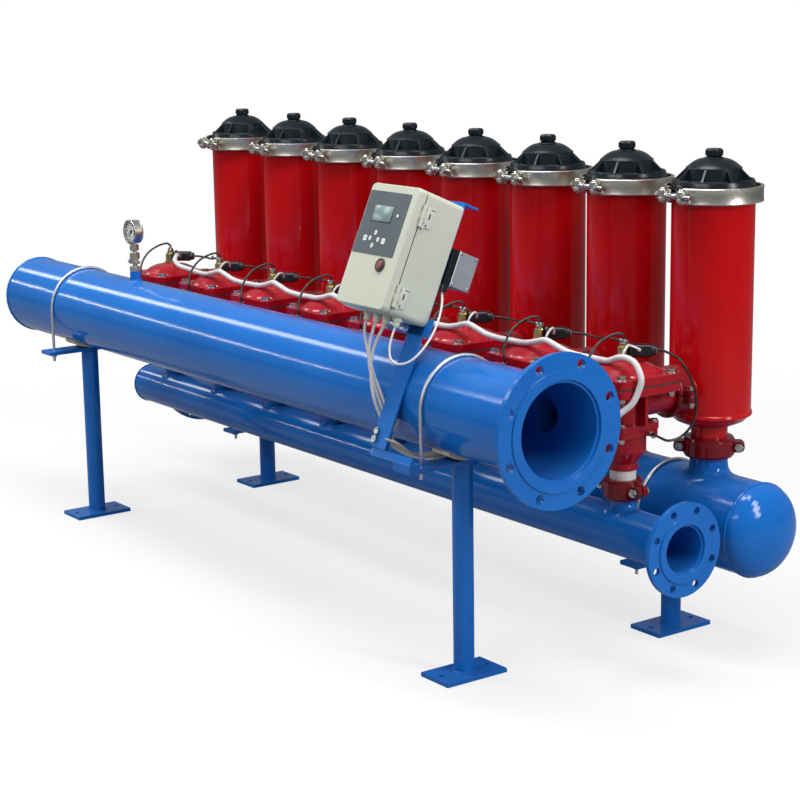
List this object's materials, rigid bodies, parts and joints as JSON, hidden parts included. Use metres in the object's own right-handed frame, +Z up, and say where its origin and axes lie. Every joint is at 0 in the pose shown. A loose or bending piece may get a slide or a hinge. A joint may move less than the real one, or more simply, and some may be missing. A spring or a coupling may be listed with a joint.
{
  "type": "irrigation disc filter battery",
  "caption": "Row of upright disc filters with backflush valves between an inlet, an outlet and a drain pipe manifold, on four legs, with a gauge and a leaning controller.",
  "frame": {"origin": "centre of the bounding box on the floor, under the feet", "axes": "+X along the manifolds towards the inlet flange, +Y from the inlet pipe to the filters, +Z up"},
  "size_m": [2.548, 0.9346, 1.1633],
  "materials": {
    "blue_paint": "gloss",
    "red_paint": "gloss",
    "pad_rubber": "matte",
    "zinc_steel": "bright",
    "stainless": "brushed",
    "black_plastic": "satin",
    "dark_plastic": "satin",
    "black_rubber": "matte",
    "disc_plastic": "satin",
    "white_plastic": "satin",
    "grey_cable": "satin",
    "brass": "satin",
    "black_tube": "satin",
    "clear_lens": "clear",
    "beige_plastic": "satin",
    "grey_plastic": "satin",
    "panel_film": "satin",
    "red_plastic": "gloss"
  },
  "bodies": {
    "battery": {"inlet_manifold": "blue_paint", "outlet_manifold": "blue_paint", "drain_manifold": "blue_paint", "front_leg_left": "blue_paint", "front_leg_right": "blue_paint", "rear_leg_left": "blue_paint", "rear_leg_right": "blue_paint", "saddle_pads": "pad_rubber", "u_bolts": "zinc_steel", "u_bolt_nuts": "zinc_steel", "filter_housings": "red_paint", "filter_covers": "black_plastic", "vent_caps": "black_plastic", "cover_seals": "black_rubber", "clamp_bands": "stainless", "clamp_bolts": "zinc_steel", "disc_spines": "black_plastic", "disc_stacks": "disc_plastic", "disc_springs": "stainless", "valve_bodies": "red_paint", "valve_outlets": "red_paint", "valve_bonnets": "red_paint", "bonnet_gaskets": "black_rubber", "valve_bolts": "zinc_steel", "drain_nipples": "white_plastic", "branch_couplings": "red_paint", "drain_couplings": "red_paint", "coupling_bolts": "zinc_steel", "solenoid_bodies": "brass", "solenoid_coils": "black_plastic", "tube_fittings": "dark_plastic", "control_tubes": "black_tube", "wiring_trunk": "white_plastic", "solenoid_leads": "white_plastic", "controller_cables": "grey_cable", "switch_cable": "white_plastic", "gauge_case": "stainless", "gauge_dial": "white_plastic", "gauge_lens": "clear_lens", "gauge_fittings": "stainless", "controller_strap": "blue_paint", "strap_bolts": "zinc_steel", "controller_box": "beige_plastic", "lid_hinge_pins": "stainless", "cable_glands": "beige_plastic", "switch_base": "black_plastic", "switch_cover": "grey_plastic"},
    "lid": {"controller_lid": "beige_plastic", "keypad_panel": "panel_film"},
    "button": {"push_button": "red_plastic"},
    "pointer": {"gauge_pointer": "dark_plastic"},
    "pistons": {"disc_pistons": "black_plastic"},
    "plunger_1": {"valve_plunger_1": "black_plastic"},
    "plunger_2": {"valve_plunger_2": "black_plastic"},
    "plunger_3": {"valve_plunger_3": "black_plastic"},
    "plunger_4": {"valve_plunger_4": "black_plastic"},
    "plunger_5": {"valve_plunger_5": "black_plastic"},
    "plunger_6": {"valve_plunger_6": "black_plastic"},
    "plunger_7": {"valve_plunger_7": "black_plastic"},
    "plunger_8": {"valve_plunger_8": "black_plastic"}
  },
  "joints": [
    {"name": "lid_hinge", "type": "hinge", "parent": "battery", "child": "lid", "pos_m": [0.8325, -0.39186, 0.96809], "axis": [0, 0.3987, 0.9171], "range_deg": [0, 120]},
    {"name": "button_push", "type": "slide", "parent": "lid", "child": "button", "axis": [0, 0.9171, -0.3987], "range_m": [0, 0.004], "stiffness_N_per_m": 200, "springref_m": -0.002},
    {"name": "pointer_turn", "type": "hinge", "parent": "battery", "child": "pointer", "pos_m": [-0.592, -0.306, 0.872], "axis": [0, 1, 0], "range_deg": [0, 270], "stiffness_Nm_per_rad": 0.0002, "springref_deg": -11.46},
    {"name": "piston_slide", "type": "slide", "parent": "battery", "child": "pistons", "axis": [0, 0, 1], "range_m": [0, 0.012], "stiffness_N_per_m": 20000, "springref_m": -0.01, "deforming": ["disc_springs"]},
    {"name": "plunger_1_slide", "type": "slide", "parent": "battery", "child": "plunger_1", "axis": [0, 0, 1], "range_m": [0, 0.018]},
    {"name": "plunger_2_slide", "type": "slide", "parent": "battery", "child": "plunger_2", "axis": [0, 0, 1], "range_m": [0, 0.018]},
    {"name": "plunger_3_slide", "type": "slide", "parent": "battery", "child": "plunger_3", "axis": [0, 0, 1], "range_m": [0, 0.018]},
    {"name": "plunger_4_slide", "type": "slide", "parent": "battery", "child": "plunger_4", "axis": [0, 0, 1], "range_m": [0, 0.018]},
    {"name": "plunger_5_slide", "type": "slide", "parent": "battery", "child": "plunger_5", "axis": [0, 0, 1], "range_m": [0, 0.018]},
    {"name": "plunger_6_slide", "type": "slide", "parent": "battery", "child": "plunger_6", "axis": [0, 0, 1], "range_m": [0, 0.018]},
    {"name": "plunger_7_slide", "type": "slide", "parent": "battery", "child": "plunger_7", "axis": [0, 0, 1], "range_m": [0, 0.018]},
    {"name": "plunger_8_slide", "type": "slide", "parent": "battery", "child": "plunger_8", "axis": [0, 0, 1], "range_m": [0, 0.018]}
  ]
}
